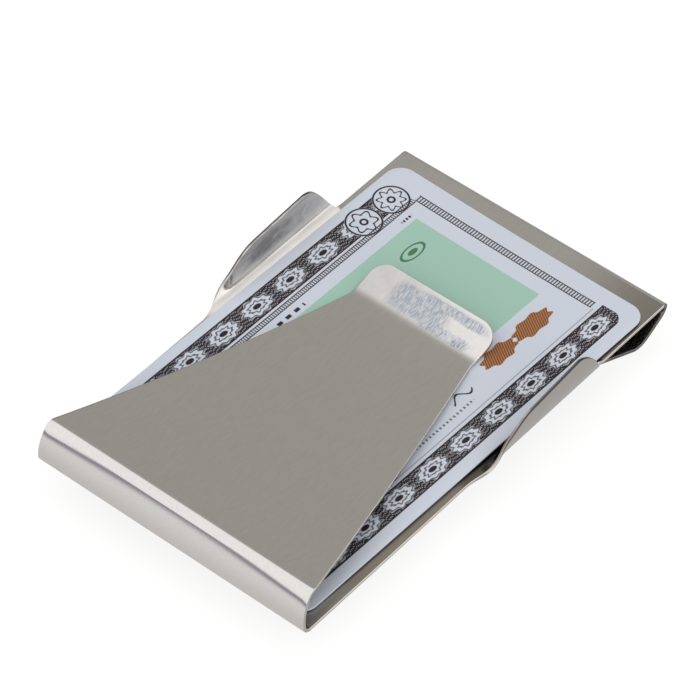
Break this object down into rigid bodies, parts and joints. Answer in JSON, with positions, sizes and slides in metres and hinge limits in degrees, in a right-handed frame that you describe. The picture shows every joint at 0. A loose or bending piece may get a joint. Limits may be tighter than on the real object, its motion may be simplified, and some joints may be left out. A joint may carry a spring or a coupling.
{
  "type": "double-sided money clip",
  "caption": "Flat strip-steel money clip with a spring tongue folded over each face, two raised side wings and a printed card held on its plate.",
  "frame": {"origin": "under the middle of the clip, level with the lowest point of the rear fold", "axes": "+Y along the clip from the front fold to the rear fold, +Z out of the face that holds the card, +X to the right"},
  "size_m": [0.0594, 0.0926, 0.0152],
  "materials": {
    "steel": "satin, with brighter bends and lips",
    "printed_card": "smooth printed card, pale ground with dark engraved borders"
  },
  "bodies": {
    "clip_body": {"center_plate": "steel", "left_wing": "steel", "right_wing": "steel", "front_fold": "steel", "rear_fold": "steel"},
    "front_arm": {"front_tongue": "steel", "front_lip": "steel"},
    "rear_arm": {"rear_tongue": "steel", "rear_lip": "steel"},
    "card": {"display_card": "printed_card"}
  },
  "joints": [
    {"name": "front_arm_flex", "type": "hinge", "parent": "clip_body", "child": "front_arm", "pos_m": [0, -0.04266, 0.01445], "axis": [1, 0, 0], "range_deg": [0, 8], "stiffness_Nm_per_rad": 3},
    {"name": "rear_arm_flex", "type": "hinge", "parent": "clip_body", "child": "rear_arm", "pos_m": [0, 0.03925, 0.00039], "axis": [1, 0, 0], "range_deg": [0, 8], "stiffness_Nm_per_rad": 3},
    {"name": "card_slide", "type": "slide", "parent": "clip_body", "child": "card", "axis": [0.0175, 0.9998, 0], "range_m": [0, 0.08]}
  ]
}
